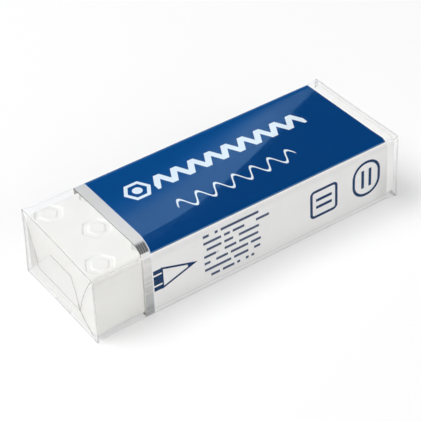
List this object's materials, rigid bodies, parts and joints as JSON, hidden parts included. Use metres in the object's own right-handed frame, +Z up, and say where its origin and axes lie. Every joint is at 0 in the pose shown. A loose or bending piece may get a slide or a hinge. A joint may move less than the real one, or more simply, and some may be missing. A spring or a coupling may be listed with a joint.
{
  "type": "wrapped block eraser",
  "caption": "White vinyl block eraser in a folded card sleeve that leaves one end bare, sealed in clear film with folded ends.",
  "frame": {"origin": "on the surface that the pack lies on, under the middle of the film's underside", "axes": "+X along the block, away from the end that the sleeve leaves bare; +Y from the pale front side to the back; +Z up, out of the dark printed face"},
  "size_m": [0.0658, 0.0244, 0.0139],
  "materials": {
    "white_vinyl": "matt, slightly soft white vinyl",
    "printed_card": "gloss-coated card, dark blue on top, pale at the sides, with a silver band at one end",
    "clear_film": "clear glossy film, slightly slack, with folded and sealed ends"
  },
  "bodies": {
    "root": {"rubber_block": "white_vinyl", "card_sleeve": "printed_card", "film_wrap": "clear_film"}
  },
  "joints": []
}
